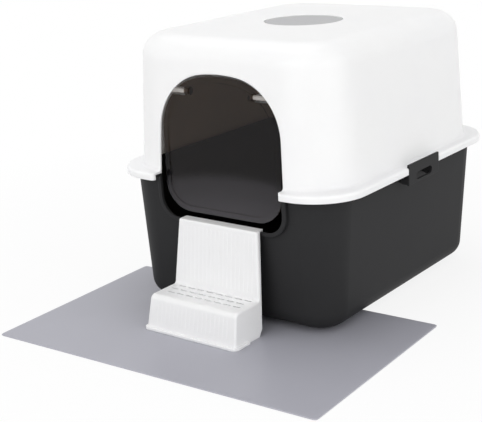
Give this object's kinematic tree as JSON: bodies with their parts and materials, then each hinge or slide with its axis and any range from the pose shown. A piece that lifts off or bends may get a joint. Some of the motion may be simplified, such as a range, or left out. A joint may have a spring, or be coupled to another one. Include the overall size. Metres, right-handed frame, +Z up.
{
  "type": "covered litter box",
  "caption": "Hooded cat litter box: flared pan with U-shaped entry, lift-off hood with swing flap and roof filter, side latches, hook-on step and floor mat.",
  "frame": {"origin": "on the floor under the middle of the pan, in the face that the pan stands on", "axes": "+Z up; the entrance and the step face -Y; +X is to the right seen from the front"},
  "size_m": [0.5644, 0.7103, 0.425],
  "materials": {
    "pan_plastic": "moulded black, fine grain",
    "hood_plastic": "moulded white, satin",
    "smoked_plastic": "clear smoked, polished",
    "pin_plastic": "natural translucent",
    "latch_plastic": "moulded black, fine grain",
    "step_plastic": "moulded white, satin",
    "mat_sheet": "matt grey sheet",
    "filter_felt": "grey filter felt"
  },
  "bodies": {
    "pan": {"pan": "pan_plastic"},
    "hood": {"hood": "hood_plastic", "flap_pin_left": "pin_plastic", "flap_pin_right": "pin_plastic"},
    "flap": {"flap": "smoked_plastic"},
    "latch_left": {"latch_left": "latch_plastic"},
    "latch_right": {"latch_right": "latch_plastic"},
    "entry_step": {"entry_step": "step_plastic"},
    "litter_mat": {"litter_mat": "mat_sheet"},
    "filter_pad": {"filter_pad": "filter_felt"}
  },
  "joints": [
    {"name": "hood_lift", "type": "slide", "parent": "pan", "child": "hood", "axis": [0, 0, 1], "range_m": [0, 0.25]},
    {"name": "flap_swing", "type": "hinge", "parent": "hood", "child": "flap", "pos_m": [0, -0.22577, 0.3475], "axis": [1, 0, 0], "range_deg": [-85, 85]},
    {"name": "latch_right_swing", "type": "hinge", "parent": "pan", "child": "latch_right", "pos_m": [0.2, 0, 0.1988], "axis": [0, 1, 0], "range_deg": [0, 90]},
    {"name": "latch_left_swing", "type": "hinge", "parent": "pan", "child": "latch_left", "pos_m": [-0.2, 0, 0.1988], "axis": [0, -1, 0], "range_deg": [0, 90]},
    {"name": "step_lift", "type": "slide", "parent": "pan", "child": "entry_step", "axis": [0, -0.7399, 0.6727], "range_m": [0, 0.15]},
    {"name": "mat_pull", "type": "slide", "parent": "pan", "child": "litter_mat", "axis": [0, -1, 0], "range_m": [0, 0.36]},
    {"name": "filter_lift", "type": "slide", "parent": "hood", "child": "filter_pad", "axis": [0, 0, 1], "range_m": [0, 0.06]}
  ]
}
